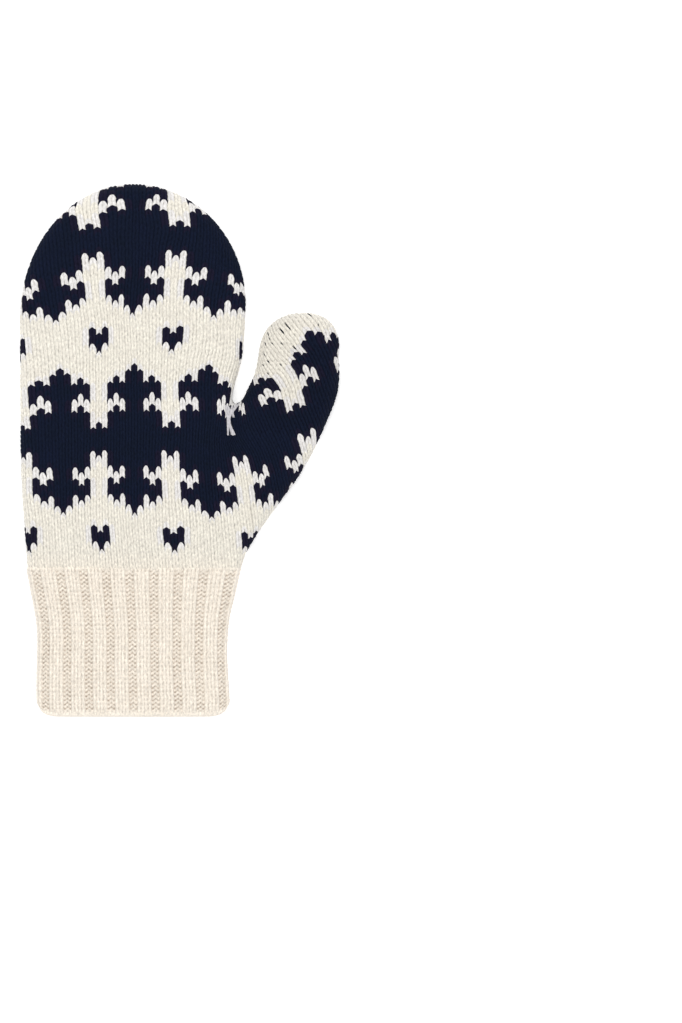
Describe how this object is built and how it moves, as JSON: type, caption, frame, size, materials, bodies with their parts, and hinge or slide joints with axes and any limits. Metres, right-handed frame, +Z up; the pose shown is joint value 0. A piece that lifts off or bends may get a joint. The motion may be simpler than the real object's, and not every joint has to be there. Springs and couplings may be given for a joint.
{
  "type": "fair isle mitten",
  "caption": "Knitted wool mitten lying flat, with a ribbed cuff, a round tip, a gusseted thumb and a stranded two-colour pattern.",
  "frame": {"origin": "on the surface, under the middle of the bounding box of the lying mitten", "axes": "+Y from the wrist to the fingertips, +X towards the thumb side, +Z up through the thickness of the lying mitten"},
  "size_m": [0.1513, 0.2502, 0.016],
  "materials": {
    "cuff_wool": "matt cream wool in 2 by 2 ribbing",
    "hand_wool": "matt stranded knitting in cream and dark navy wool",
    "thumb_wool": "matt stranded knitting in cream and dark navy wool"
  },
  "bodies": {
    "root": {"cuff": "cuff_wool", "hand": "hand_wool", "thumb": "thumb_wool"}
  },
  "joints": []
}
